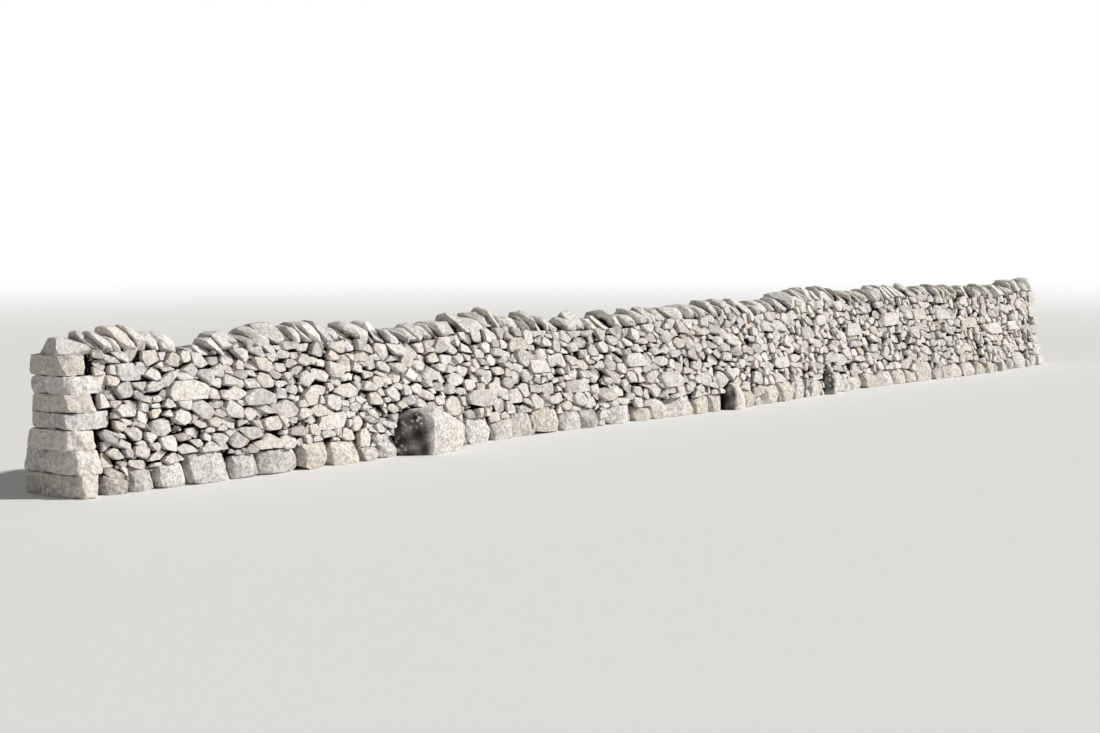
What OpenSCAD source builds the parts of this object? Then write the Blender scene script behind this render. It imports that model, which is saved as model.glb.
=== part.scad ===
// A length of dry stone field wall in pale limestone, built as six bays.
// Two battered skins of rubble stand on a footing course of large stones, with hearting
// packed between them, and a row of leaning cope stones closes the top.
// Frame: +X runs along the wall, the near face looks towards -Y, and Z is up from the ground.
// Units are millimetres.

/* [Wall] */
// Number of bays built, of a wall that really runs on
bays = 6; // [1:1:8]
// Length of one bay
bay_l = 3200; // [2400:100:4800]
// Height of the body at its mean, from the ground to the bed of the cope
body_h = 1140; // [900:20:1300]
// How far the line of the wall wanders to either side
wander = 80; // [0:10:150]
// Length of one full wander of the line
wander_l = 7300; // [5000:100:12000]

/* [Section] */
// Width of the body at the ground
base_w = 740; // [700:10:900]
// Width of the body under the cope
top_w = 430; // [400:10:500]
// Depth of each skin of face stones
skin_t = 180; // [120:10:190]
// Most that a face bellies out between the footing and the cope
belly = 20; // [0:5:40]

/* [Footing] */
// Mean height of a footing stone
foot_h = 220; // [180:10:340]
// Most that a footing stone stands out beyond the face above it
foot_out = 50; // [0:5:120]
// Mean length of a footing stone
foot_l = 360; // [260:20:600]
// Joint left between neighbouring footing stones
foot_gap = 14; // [4:1:30]

/* [Large stones] */
// Mean length of the large stones that stand out of the faces, one to a segment
large_l = 400; // [300:10:520]
// Mean height of a large stone
large_h = 160; // [120:10:240]
// Most that a large stone stands out of the face around it
large_out = 32; // [0:2:60]
// Joint left above and beside a large stone
large_gap = 9; // [4:1:20]

/* [Cope] */
// Mean height of a cope stone above its bed
cope_h = 195; // [150:5:340]
// Mean width of a cope stone across the wall
cope_w = 450; // [380:10:520]
// Mean thickness of a cope stone along the wall
cope_t = 130; // [100:5:240]
// Joint left between neighbouring cope stones
cope_gap = 7; // [2:1:20]
// Lean of the cope stones from upright, towards -X
cope_lean = 32; // [0:1:40]
// Share of its height that a cope stone keeps where the coping has been lost
cope_low_share = 0.4; // [0.3:0.05:1]

/* [Ends] */
// Length along the wall of the head that closes each end
head_t = 300; // [200:10:400]
// How much further into the wall the paired blocks of a head reach, to tie it to the faces
head_bond = 150; // [0:10:200]
// Number of courses in a head
head_courses = 7; // [5:1:9]
// Joint left between the blocks of a head
head_gap = 0.3; // [0.2:0.1:0.8]

/* [Boulders] */
// Length along the wall of the largest boulder built into the foot of the near face
boulder_l = 1000; // [600:10:1200]
// Height of the largest boulder
boulder_h = 470; // [380:10:640]
// How far the largest boulder stands out of the near face
boulder_out = 280; // [80:10:300]

/* [Hidden] */
// Near and far side of the wall, as the sign of Y
NEAR = -1;
FAR = 1;
// Each bay is set out in four equal segments, and every surface is flat along one segment.
SEGMENTS = 4;
segment_l = bay_l / SEGMENTS;
segment_n = bays * SEGMENTS;
wall_l = bays * bay_l;
end_x = wall_l / 2;
// Heights of the cope bed at each station, above or below its mean, in hundredths of body_h
BED_RISE = [2, 2, -5, 2, -1, -8, -2, 1, -6, -8, -5, -2, -1, -2, -2, 9, 4, 1, 5, 6, 3, 1, -1, 3, 5];
// Where coping has been lost, from and to, in bays from the start
LOST_COPES = [[0.38, 0.5], [2.08, 2.13]];
// Boulders in the near face: the middle of each in bays from the start, then its shares of
// boulder_l, boulder_h and boulder_out
BOULDERS = [[1.32, 1, 1, 1], [3.02, 0.42, 0.72, 0.35], [3.84, 0.5, 0.65, 0.4]];
// Corners of a boulder in front of the face: shares of its length, its height and its reach. One
// steep flank looks along the wall towards the start, and the top falls away from its arris.
BOULDER_FRONT = [[0, 0, 0.1], [0.25, 0, 0.93], [0.66, 0, 0.8], [1, 0, 0.35],
    [0, 0.5, 0.05], [0.24, 0.66, 1], [0.7, 0.5, 0.72], [1, 0.42, 0.3],
    [0.06, 0.88, -0.1], [0.27, 1, 0.66], [0.62, 0.84, 0.36], [0.93, 0.56, 0.08]];
// Corners of a boulder inside the wall: shares of its length and its height
BOULDER_BACK = [[0, 0], [1, 0], [0, 0.5], [1, 0.42], [0.1, 0.9], [0.5, 0.86], [0.9, 0.55]];
// Shares of its height at which the outside of a skin bends
SKIN_ROWS = [0, 0.45, 0.75, 1];
// Most that chance takes from each end of a footing stone, and of a cope stone, as shares of its length
FOOT_ROUGH = 0.2;
COPE_ROUGH = 0.3;
// Least and most height of a footing stone, and how much its two ends may differ, as shares of
// foot_h, and how much of its height its outer top edge may have lost
FOOT_LOW = 0.42;
FOOT_HIGH = 1.3;
FOOT_TILT = 0.12;
FOOT_DROP = 0.3;
// Corners around the face of a large stone, as shares of its length and its height, how far chance
// moves them, how far it leans back for its height, and how much of the skin's depth it takes
LARGE_RING = [[0, 0], [1, 0], [1.05, 0.5], [0.9, 1], [0.12, 0.95], [-0.04, 0.45]];
LARGE_ROUGH = 0.07;
LARGE_LEAN = 0.3;
LARGE_SEAT = 0.6;
// How far a joint between two cope stones may stray from the lean of the row, as a share of the
// thinner stone's thickness, over the mean height of the row
COPE_STRAY = 0.36;
// How far the outside of a head's paired blocks may stand back from its through blocks
HEAD_BACK = 12;
// Rows of stones: each stone draws its chances from its row, its segment and its place
FOOT_ROW = 1;
COPE_ROW = 4;
JOINT_ROW = 5;
HEAD_ROW = 6;
BELLY_ROW = 7;
LARGE_ROW = 8;

batter = (base_w - top_w) / 2 / body_h;
lean_reach = 1.2 * cope_h * tan(cope_lean);
foot_top = foot_h * (FOOT_HIGH + FOOT_TILT);

// The key of a stone, and the nth number that chance draws for it, from low to high
function key(row, segment, place) = row + 9 * (place + 20 * (segment + 2));
function chance(key, n, low, high) = rands(low, high, n + 1, key)[n];

// An entry of a list that starts again when it runs out
function entry(list, i) = list[i % len(list)];

function station_x(i) = i * segment_l - end_x;
function segment_of(x) = max(0, min(segment_n - 1, floor((x + end_x) / segment_l)));

// Value at x on the straight line between the two stations beside it
function between(values, x) =
    let (i = segment_of(x), share = (x - station_x(i)) / segment_l)
    values[i] + (values[i + 1] - values[i]) * share;

LINE = [for (i = [0:segment_n]) -wander * cos(360 * station_x(i) / wander_l)];
BED = [for (i = [0:segment_n]) body_h * (1 + entry(BED_RISE, i) / 100)];

function line_y(x) = between(LINE, x);
function bed_z(x) = between(BED, x);
function half_w(z) = base_w / 2 - batter * z;

// The skins and the hearting run between the two heads.
function body_x(i) = max(head_t - end_x, min(end_x - head_t, station_x(i)));

// One stone: the convex shape that holds all its points
module stone(points) {
    hull() polyhedron(points, [[for (i = [0:len(points) - 1]) i]]);
}

// A solid through rings of points, all with the same count, in order along +X. The first point of
// a ring sees all its others.
module loft(rings) {
    n = len(rings[0]);
    last = len(rings) - 1;
    sides = [for (r = [0:last - 1]) for (k = [0:n - 1])
        let (a = r * n + k, b = r * n + (k + 1) % n) each [[a, b, b + n], [a, b + n, a + n]]];
    start = [for (k = [1:n - 2]) [0, k + 1, k]];
    end = [for (k = [1:n - 2]) [last * n, last * n + k, last * n + k + 1]];
    polyhedron([for (ring = rings) each ring], concat(sides, start, end));
}

// How far the face bellies out at a station, at a share of the height of its skin
function belly_at(side, i, share) =
    belly * sin(180 * share) * chance(key(BELLY_ROW, i, 1 + side), 0, -0.5, 1);

// Section of one skin at station i, from the foot of its inner face: up its outer face to its bed
function skin_ring(side, i) =
    let (x = body_x(i), y = line_y(x), high = bed_z(x),
        outside = [for (share = SKIN_ROWS)
            let (z = high * share)
            [x, y + side * (half_w(z) + belly_at(side, i, share)), z]],
        inside = [for (z = [0, high]) [x, y + side * (half_w(z) - skin_t), z]],
        ring = concat([inside[0]], outside, [inside[1]]))
    side == FAR ? [for (k = [len(ring) - 1:-1:0]) ring[k]] : ring;

module skin(side, bay) {
    loft([for (i = [0:SEGMENTS]) skin_ring(side, bay * SEGMENTS + i)]);
}

// Section of the hearting at station i, from the ground to the cope's bed
function hearting_ring(i) =
    let (x = body_x(i), y = line_y(x), high = bed_z(x))
    [[x, y - half_w(0) + skin_t, 0], [x, y - half_w(high) + skin_t, high],
        [x, y + half_w(high) - skin_t, high], [x, y + half_w(0) - skin_t, 0]];

module hearting(bay) {
    difference() {
        loft([for (i = [0:SEGMENTS]) hearting_ring(bay * SEGMENTS + i)]);
        bonding(bay);
    }
}

// Running total of a list's first entries
function total(list, count) = count == 0 ? 0 : list[count - 1] + total(list, count - 1);

// Edges of the places of stones of about one length, in a row from low to high
function places(low, high, mean_l, key) =
    let (count = max(1, round((high - low) / mean_l + chance(key, 0, -0.45, 0.45))),
        shares = rands(0.5, 1.6, count, key))
    [for (k = [0:count]) k == count ? high : low + (high - low) * total(shares, k) / total(shares, count)];

// The boulders that stand in the bays built, and the stretch of the near face that each one takes
boulders = [for (b = BOULDERS) if (b[0] < bays) b];
function boulder_span(b) = [for (end = [-1, 1]) b[0] * bay_l - end_x + end * b[1] * boulder_l / 2];

// What is left of a stretch of wall when another one is taken out of it
function without(span, taken) = taken[1] <= span[0] || taken[0] >= span[1] ? [span]
    : [for (rest = [[span[0], taken[0]], [taken[1], span[1]]]) if (rest[1] - rest[0] > 4 * foot_gap) rest];

// The stretches of a segment that ordinary footing stones fill
function footing_spans(side, segment, n = 0) =
    let (span = [body_x(segment), body_x(segment + 1)])
    side == FAR || n == len(boulders) ? [span]
    : [for (rest = footing_spans(side, segment, n + 1)) each without(rest, boulder_span(boulders[n]))];

// The footing stones of a segment: from where to where, the height at both ends, how far each
// stands out, and its key
function footing_stones(side, segment) =
    [for (span = footing_spans(side, segment))
        let (first = span[0] > body_x(segment) ? 8 : 0, row = FOOT_ROW + 1 + side,
            edges = places(span[0], span[1], foot_l, key(row, segment, 19 - first)))
        for (k = [0:len(edges) - 2])
            let (stone = key(row, segment, first + k), share = min(1, (edges[k + 1] - edges[k]) / foot_l),
                h = foot_h * max(FOOT_LOW, share * chance(stone, 0, 2 * FOOT_LOW, FOOT_HIGH)),
                tilt = foot_h * chance(stone, 1, -FOOT_TILT, FOOT_TILT))
            [edges[k], edges[k + 1], h + tilt, h - tilt, foot_out * chance(stone, 2, -0.2, 1), stone]];

// Height of the flat top of a footing stone at x
function top_z(s, x) = s[2] + (s[3] - s[2]) * (x - s[0]) / (s[1] - s[0]);

// Points of a footing stone: flat beds below and above, a bulging outside, and a top edge that
// drops towards it
function footing_points(side, s) =
    let (a = s[0] + foot_gap / 2, b = s[1] - foot_gap / 2, free = (b - a) * FOOT_ROUGH,
        cut = rands(0, 1, 18, s[5] + 1))
    [for (level = [0:2]) for (corner = [0:5])
        let (n = level * 6 + corner, right = corner > 2, edge = corner == 0 || corner == 5,
            outside = corner == 2 || corner == 3,
            x = (right ? b : a) + (right ? -1 : 1) * free * cut[n] * (outside ? 0.7 + level / 2 : 0.2),
            rise = level == 0 ? 0 : level == 1 ? 0.3 + 0.3 * cut[corner]
                : outside ? 1 - FOOT_DROP * cut[corner] : 1,
            z = top_z(s, x) * rise,
            inner = half_w(z) - skin_t + head_gap,
            outer = half_w(z) + s[4] * ([0.7, 1, 0.2][level] - 0.3 * cut[n]),
            reach = edge ? inner : outside ? outer : (inner + 3 * outer) / 4)
        [x, line_y(x) + side * reach, z]];

module footing(side, bay) {
    for (segment = [bay * SEGMENTS:(bay + 1) * SEGMENTS - 1])
        for (s = footing_stones(side, segment)) stone(footing_points(side, s));
}

// What a skin leaves free for its footing stones: the whole of each one's place, up to its top
module footing_places(side, bay) {
    low = body_x(bay * SEGMENTS);
    high = body_x((bay + 1) * SEGMENTS);
    for (segment = [bay * SEGMENTS:(bay + 1) * SEGMENTS - 1])
        for (s = footing_stones(side, segment))
            loft([for (x = [s[0] - (s[0] <= low ? foot_gap : 0), s[1] + (s[1] >= high ? foot_gap : 0)])
                [[x, -base_w, -foot_gap], [x, -base_w, top_z(s, x)], [x, base_w, top_z(s, x)],
                    [x, base_w, -foot_gap]]]);
}

// A boulder in the near face: a footing stone that rises into the skin and stands out of it
module boulder(n) {
    b = boulders[n];
    span = boulder_span(b);
    foot = half_w(0);
    function x(share) = span[0] + (span[1] - span[0]) * share;
    stone(concat(
        [for (c = BOULDER_FRONT)
            [x(c[0]), line_y(x(c[0])) - foot - boulder_out * b[3] * c[2], boulder_h * b[2] * c[1]]],
        [for (c = BOULDER_BACK)
            [x(c[0]), line_y(x(c[0])) - foot + skin_t - foot_gap, boulder_h * b[2] * c[1]]]));
}

// Whether a boulder reaches into a bay
function in_bay(b, bay) = let (span = boulder_span(b))
    span[1] > station_x(bay * SEGMENTS) && span[0] < station_x((bay + 1) * SEGMENTS);

// How far the outside of a face stands from the middle of the wall
function outside(side, x, z) =
    let (i = segment_of(x), share = z / bed_z(x))
    half_w(z) + between([for (k = [0:segment_n]) k < i || k > i + 1 ? 0 : belly_at(side, k, share)], x);

// The segments of a face that have a large stone: all but those where a boulder stands
function has_large(side, segment) = side == FAR
    || len([for (b = boulders) let (span = boulder_span(b))
        if (span[1] > station_x(segment) && span[0] < station_x(segment + 1)) b]) == 0;

// Corners around a large stone of a segment: x, z, and the way that each looks, out of the stone
function large_corners(side, segment) =
    let (drawn = key(LARGE_ROW, segment, 1 + side),
        h = large_h * chance(drawn, 0, 0.75, 1.2),
        low = max(station_x(segment), head_t + head_bond - end_x) + LARGE_LEAN * h + 3 * large_gap,
        high = min(station_x(segment + 1), end_x - head_t - head_bond) - 5 * large_gap,
        l = min(large_l * chance(drawn, 1, 0.7, 1.25), 0.9 * (high - low)),
        x = low + (high - low - l) * chance(drawn, 2, 0, 1),
        room = bed_z(x) * 0.98 - foot_top - h - 3 * large_gap,
        z = foot_top + large_gap + max(0, room) * chance(drawn, 3, 0, 1),
        move = rands(-LARGE_ROUGH, LARGE_ROUGH, 12, drawn + 1))
    [for (k = [0:5])
        let (ring = LARGE_RING[k], right = ring[0] > 0.5, high_up = ring[1] > 0,
            rise = h * (ring[1] + (high_up ? move[k] : 0)))
        [x + l * (ring[0] + move[6 + k]) - LARGE_LEAN * rise, z + rise, right ? 1 : -1, high_up ? 1 : 0]];

// A block around those corners, grown by a gap, from a depth in the skin to places out of the face
module large_block(side, segment, gap, depth, outs) {
    corners = large_corners(side, segment);
    stone([for (k = [0:5])
        let (x = corners[k][0] + corners[k][2] * gap, z = corners[k][1] + corners[k][3] * gap)
        each [[x, line_y(x) + side * (half_w(z) - depth), z],
            [x, line_y(x) + side * (outside(side, x, z) + outs[k]), z]]]);
}

module large_stones(side) {
    for (segment = [0:segment_n - 1])
        if (has_large(side, segment))
            large_block(side, segment, 0, skin_t * LARGE_SEAT - head_gap,
                rands(0.35 * large_out, large_out, 6, key(LARGE_ROW, segment, 5 + side)));
}

// What a skin leaves free for its large stones
module large_places(side, bay) {
    for (segment = [bay * SEGMENTS:(bay + 1) * SEGMENTS - 1])
        if (has_large(side, segment))
            large_block(side, segment, large_gap, skin_t * LARGE_SEAT, [for (k = [0:5]) skin_t]);
}

module face(side, bay) {
    difference() {
        skin(side, bay);
        footing_places(side, bay);
        large_places(side, bay);
        if (side == NEAR)
            for (n = [0:1:len(boulders) - 1])
                if (in_bay(boulders[n], bay)) boulder(n);
        bonding(bay);
    }
}

// Whether the coping has been lost at x
function is_lost(x) = len([for (range = LOST_COPES)
    if (x > range[0] * bay_l - end_x && x < range[1] * bay_l - end_x) range]) > 0;

// Points of a cope stone that stands on the bed between x = low and high. The joint on either side
// of it has its own slope, so some stones are wedges and all lean the same way.
function cope_points(low, high, slopes, key) =
    let (a = low + cope_gap / 2, b = high - cope_gap / 2, free = min(b - a, cope_t) * COPE_ROUGH,
        height = cope_h * chance(key, 0, 0.66, 1.25) * (is_lost((a + b) / 2) ? cope_low_share : 1),
        cut = rands(0, 1, 21, key + 1))
    [for (level = [0:2]) for (corner = [0:5])
        let (n = level * 6 + corner, right = corner < 3, reach = corner % 3 - 1,
            rise = height * [0, 0.6, 1][level] * (reach == 0 ? 1 : 0.74 + 0.26 * cut[corner]),
            inset = free * [0.1, 0.3, 1][level] * cut[n] * (reach == 0 ? 0.5 : 1),
            foot_x = right ? b - inset : a + inset,
            y = reach * cope_w / 2 * [0.88, 1, 0.66][level] * (0.78 + 0.28 * cut[n % 12 + 3]))
        [foot_x - rise * slopes[right ? 1 : 0], line_y(foot_x) + y, bed_z(foot_x) + rise]];

// The copes stand on the heads as well, and the first stone is long enough to lean the next one on.
function cope_edges(segment) =
    let (low = station_x(segment), high = station_x(segment + 1), first = segment == 0,
        edges = places(low + (first ? lean_reach : 0), high, cope_t, key(COPE_ROW, segment, 19)))
    first ? [for (k = [0:len(edges) - 1]) k == 0 ? low : edges[k]] : edges;

// Slope of the joint before stone k of a segment. The row starts upright.
function joint_slope(segment, k) = segment == 0 && k == 0 ? 0
    : let (edges = cope_edges(segment), before = k == 0 ? cope_edges(segment - 1) : edges,
        left = k == 0 ? len(before) - 1 : k,
        thinner = min(before[left] - before[left - 1], edges[k + 1] - edges[k]))
    max(0, tan(cope_lean)
        + COPE_STRAY * thinner / cope_h * chance(key(JOINT_ROW, segment, k), 0, -1, 1));

module cope(bay) {
    for (segment = [bay * SEGMENTS:(bay + 1) * SEGMENTS - 1]) {
        edges = cope_edges(segment);
        last = len(edges) - 1;
        slopes = [for (k = [0:last]) k == last ? joint_slope(segment + 1, 0) : joint_slope(segment, k)];
        for (k = [0:last - 1])
            stone(cope_points(edges[k], edges[k + 1], [slopes[k], slopes[k + 1]], key(COPE_ROW, segment, k)));
    }
}

// Shares of its height at which the courses of a head lie
function course_shares(sign) =
    let (shares = rands(0.75, 1.25, head_courses, key(HEAD_ROW, 1 + sign, 0)))
    [for (k = [0:head_courses]) total(shares, k) / total(shares, head_courses)];

// How far into the wall the pair of blocks in course k of a head reaches: above the footings it
// goes on into the faces
function pair_reach(sign, k) = course_shares(sign)[k] * bed_z(sign * end_x) > foot_top
    ? head_t + head_bond * chance(key(HEAD_ROW, 1 + sign, k), 1, 0.6, 1) : head_t - head_gap;

// One block of course k of a head, between two places across it, which run from -1 to 1. It stands
// back from the end of the wall, and leaves half a joint at a side that has a neighbour.
module head_block(sign, k, across, reach, back) {
    shares = course_shares(sign);
    stone([for (x = [sign * (end_x - back), sign * (end_x - reach)]) for (level = [0, 1]) for (side = [0, 1])
        let (z = bed_z(x) * shares[k + level] + (level == 0 && k > 0 ? head_gap : 0),
            w = half_w(z) + (k == 0 ? foot_out * 0.7 : 0))
        [x, line_y(x) + across[side] * w + (abs(across[side]) < 1 ? (0.5 - side) * head_gap : 0), z]]);
}

// A head that closes one end of the wall, where sign is -1 or 1: courses of one block right
// through the wall take turns with courses of a pair
module head(sign) {
    for (k = [0:head_courses - 1]) {
        drawn = key(HEAD_ROW, 1 + sign, k);
        middle = chance(drawn, 0, -0.25, 0.25);
        if (k % 2 == 0) head_block(sign, k, [-1, 1], head_t - head_gap, 0);
        else for (side = [0, 1])
            head_block(sign, k, side == 0 ? [-1, middle] : [middle, 1], pair_reach(sign, k),
                HEAD_BACK * chance(drawn, 2 + side, 0, 1));
    }
}

// The room that a bay's faces and hearting leave for the paired blocks of the heads
module bonding(bay) {
    for (end = [[0, -1], [bays - 1, 1]])
        if (bay == end[0])
            for (k = [1:2:head_courses - 1]) head_block(end[1], k, [-1.3, 1.3], pair_reach(end[1], k), 0);
}

for (bay = [0:bays - 1]) {
    n = str(bay + 1);
    color("#b8b2a3") footing(NEAR, bay);
    color("#b8b2a3") footing(FAR, bay);
    color("#cdc9be") face(NEAR, bay);
    color("#cdc9be") face(FAR, bay);
    color("#8f8a80") hearting(bay);
    color("#d5d2c9") cope(bay);
}
color("#d5d1c7") large_stones(NEAR);  // large_front
color("#d5d1c7") large_stones(FAR);  // large_back
color("#c6c1b4") head(-1);  // head_start
color("#c6c1b4") head(1);  // head_end
for (n = [0:1:len(boulders) - 1])
    color("#bdb8ab") boulder(n);
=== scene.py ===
import math
from collections import namedtuple
from itertools import combinations

import bmesh
import bpy
import numpy as np
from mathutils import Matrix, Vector
from mathutils.bvhtree import BVHTree


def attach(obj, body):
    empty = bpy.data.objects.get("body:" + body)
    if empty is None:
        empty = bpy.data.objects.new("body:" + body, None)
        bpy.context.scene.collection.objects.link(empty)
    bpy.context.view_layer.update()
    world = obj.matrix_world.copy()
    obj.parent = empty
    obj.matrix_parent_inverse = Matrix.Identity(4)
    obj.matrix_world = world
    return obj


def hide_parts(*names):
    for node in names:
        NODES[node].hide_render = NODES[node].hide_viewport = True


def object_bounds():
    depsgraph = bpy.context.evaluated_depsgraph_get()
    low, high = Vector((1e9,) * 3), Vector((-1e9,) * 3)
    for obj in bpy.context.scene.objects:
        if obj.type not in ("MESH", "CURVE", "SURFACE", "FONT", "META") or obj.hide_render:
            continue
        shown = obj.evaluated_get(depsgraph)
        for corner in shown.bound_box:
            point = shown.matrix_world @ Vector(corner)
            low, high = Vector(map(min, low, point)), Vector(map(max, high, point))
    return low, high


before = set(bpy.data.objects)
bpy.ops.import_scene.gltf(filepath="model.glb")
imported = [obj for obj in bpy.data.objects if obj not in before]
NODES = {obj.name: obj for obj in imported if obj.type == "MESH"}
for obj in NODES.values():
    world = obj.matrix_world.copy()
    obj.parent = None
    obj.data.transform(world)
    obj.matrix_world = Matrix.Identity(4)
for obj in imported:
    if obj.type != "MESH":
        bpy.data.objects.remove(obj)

# Dry stone field wall. The rubble of both faces is set out and hewn here stone by stone, over the
# skins of the frame. Footings, large stones, copes, heads and boulders are hewn from the frame's
# own solids.

BAYS = range(1, 7)
CAD_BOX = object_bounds()

# Sizes in metres
HALF_AT_FOOT = 0.37     # half width of the body at the ground
HALF_AT_BED = 0.215     # half width of the body at the bed of the cope
BED_AT = 1.14           # height of that bed at its mean
BATTER = (HALF_AT_FOOT - HALF_AT_BED) / BED_AT
STONE_DEPTH = 0.15      # how far a laid stone reaches back into the wall


def half_width(z):
    return HALF_AT_FOOT - BATTER * z


# Hewing: a stone is the block that a set of planes cuts out

TRIPLES = {}            # every choice of three planes, for each count of planes met so far
SAME_CORNER = 8e-4      # corners of a block closer together than this are one


def hew(normals, dists):
    """The block that planes around the origin cut out: its corners, and its sides as rings of corners."""
    count = len(normals)
    if count not in TRIPLES:
        TRIPLES[count] = np.array(list(combinations(range(count), 3)))
    rows = TRIPLES[count]
    rows = rows[abs(np.linalg.det(normals[rows])) > 1e-6]
    spots = np.linalg.solve(normals[rows], dists[rows][:, :, None])[:, :, 0]
    kept = (spots @ normals.T < dists + 2e-6).all(1)
    spots, rows = spots[kept], rows[kept]
    corners, planes = [], []
    for spot, row in zip(spots, rows):
        for i, corner in enumerate(corners):
            if abs(corner - spot).max() < SAME_CORNER:
                planes[i].update(row)
                break
        else:
            corners.append(spot)
            planes.append(set(row))
    corners, sides = np.array(corners), []
    for i, normal in enumerate(normals):
        ring = [k for k, touched in enumerate(planes) if i in touched]
        if len(ring) < 3:
            continue
        arms = corners[ring] - corners[ring].mean(0)
        across = arms[0] / np.linalg.norm(arms[0])
        turn = np.arctan2(arms @ np.cross(normal, across), arms @ across)
        sides.append([ring[k] for k in np.argsort(turn)])
    return corners, sides


def facet(corners, sides, cuts):
    """Triangles over a block: its sides fanned from their middles, then split in four, cuts times."""
    points = np.vstack([corners] + [corners[ring].mean(0)[None] for ring in sides])
    tris = np.array([(len(corners) + i, ring[k], ring[(k + 1) % len(ring)])
                     for i, ring in enumerate(sides) for k in range(len(ring))])
    for _ in range(cuts):
        edges = np.sort(np.concatenate([tris[:, [0, 1]], tris[:, [1, 2]], tris[:, [2, 0]]]), axis=1)
        edges, place = np.unique(edges, axis=0, return_inverse=True)
        ab, bc, ca = place.reshape(3, -1) + len(points)
        points = np.vstack([points, points[edges].mean(1)])
        a, b, c = tris.T
        quarters = (a, ab, ca), (ab, b, bc), (ca, bc, c), (ab, bc, ca)
        tris = np.concatenate([np.stack(t, 1) for t in quarters])
    return points, tris


def tilted(rng, normal, least, most):
    """A direction at an angle to a normal, between two limits in degrees, and the way that it leans."""
    way = np.cross(normal, rng.normal(size=3))
    way /= np.linalg.norm(way)
    lean = math.radians(rng.uniform(least, most))
    return normal * math.cos(lean) + way * math.sin(lean), way


def hewn_stone(heart, normals, dists, wear, cuts):
    """A stone with worn edges, whose planes lie at dists from its heart. More wear leaves it sharper."""
    corners, sides = hew(normals, dists)
    points, tris = facet(corners, sides, cuts)
    reach = np.maximum(points @ normals.T / dists, 0)
    return heart + points * ((reach ** wear).sum(1) ** (-1 / wear))[:, None], tris


class Masonry:
    """Gathers stones into one joined mesh."""

    def __init__(self):
        self.points, self.tris, self.tones, self.recess, self.count = [], [], [], [], 0

    def lay(self, points, tris, tone, recess):
        self.points.append(points)
        self.tris.append(tris + self.count)
        self.tones.append(np.tile(tone, (len(points), 1)))
        self.recess.append(recess)
        self.count += len(points)

    def build(self, name):
        points, tris = np.vstack(self.points), np.vstack(self.tris)
        mesh = bpy.data.meshes.new(name)
        mesh.vertices.add(len(points))
        mesh.vertices.foreach_set("co", points.astype(np.float32).ravel())
        mesh.loops.add(tris.size)
        mesh.loops.foreach_set("vertex_index", tris.astype(np.int32).ravel())
        mesh.polygons.add(len(tris))
        mesh.polygons.foreach_set("loop_start", np.arange(0, tris.size, 3, dtype=np.int32))
        mesh.update(calc_edges=True)
        tone_stones(mesh, np.vstack(self.tones), np.concatenate(self.recess))
        piece = bpy.data.objects.new(name, mesh)
        bpy.context.scene.collection.objects.link(piece)
        return piece


def tone_stones(mesh, tones, recess):
    """Stores each point's tone, and how deep it lies in the joints, which sets the shade painted on it."""
    tone = mesh.attributes.new("stone_tone", "FLOAT_COLOR", "POINT")
    tone.data.foreach_set("color", np.asarray(tones, np.float32).ravel())
    # how deep each point lies in the joints: the stone material paints shade from it
    depth = mesh.attributes.new("recess", "FLOAT", "POINT")
    depth.data.foreach_set("value", np.asarray(recess, np.float32))


DARK_SHARE = 0.05       # share of stones that are dark


def stone_tone(rng):
    """Brightness, warmth, lichen and grime of one stone, each from 0 to 1."""
    bright = rng.normal(0.72, 0.17) if rng.random() > DARK_SHARE else rng.uniform(0.0, 0.3)
    return np.array([np.clip(bright, 0, 1), rng.random(), rng.random(), rng.random()])


# Node trees

def tree_inputs(tree, sockets):
    """Adds a tree's inputs and its geometry output, and returns each input's identifier by name."""
    names = {}
    for name, kind, value in sockets:
        item = tree.interface.new_socket(name, in_out="INPUT", socket_type=kind)
        if value is not None:
            item.default_value = value
        names[name] = item.identifier
    tree.interface.new_socket("Geometry", in_out="OUTPUT", socket_type="NodeSocketGeometry")
    return names


class Wiring:
    """Short hands for making and joining the nodes of one tree."""

    def __init__(self, tree):
        self.tree = tree

    def node(self, kind, **settings):
        n = self.tree.nodes.new(kind)
        for key, value in settings.items():
            setattr(n, key, value)
        return n

    def feed(self, socket, source):
        if isinstance(source, bpy.types.NodeSocket):
            self.tree.links.new(source, socket)
        else:
            socket.default_value = source

    def math(self, operation, *terms):
        n = self.node("ShaderNodeMath", operation=operation)
        for socket, term in zip(n.inputs, terms):
            self.feed(socket, term)
        return n.outputs[0]

    def vector(self, operation, *terms):
        n = self.node("ShaderNodeVectorMath", operation=operation)
        places = [n.inputs[0], n.inputs["Scale"]] if operation == "SCALE" else n.inputs
        for socket, term in zip(places, terms):
            self.feed(socket, term)
        return n.outputs[0]

    def ramp(self, value, low, high, out_low=0.0, out_high=1.0):
        n = self.node("ShaderNodeMapRange", interpolation_type="SMOOTHSTEP")
        for socket, term in zip(n.inputs, (value, low, high, out_low, out_high)):
            self.feed(socket, term)
        return n.outputs[0]


def finish_tree(w, geometry, crease, material):
    """The end of every tree: real geometry, smooth but for its creases, with its material."""
    real = w.node("GeometryNodeRealizeInstances")
    w.feed(real.inputs["Geometry"], geometry)
    smooth = w.node("GeometryNodeSetShadeSmooth")
    w.feed(smooth.inputs["Geometry"], real.outputs[0])
    sharp = w.node("GeometryNodeSetShadeSmooth", domain="EDGE")
    w.feed(sharp.inputs["Geometry"], smooth.outputs[0])
    angle = w.node("GeometryNodeInputMeshEdgeAngle").outputs["Unsigned Angle"]
    w.feed(sharp.inputs["Selection"], w.math("GREATER_THAN", angle, crease))
    sharp.inputs["Shade Smooth"].default_value = False
    coat = w.node("GeometryNodeSetMaterial")
    w.feed(coat.inputs["Geometry"], sharp.outputs[0])
    w.feed(coat.inputs["Material"], material)
    end = w.node("NodeGroupOutput")
    w.feed(end.inputs[0], coat.outputs[0])


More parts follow.
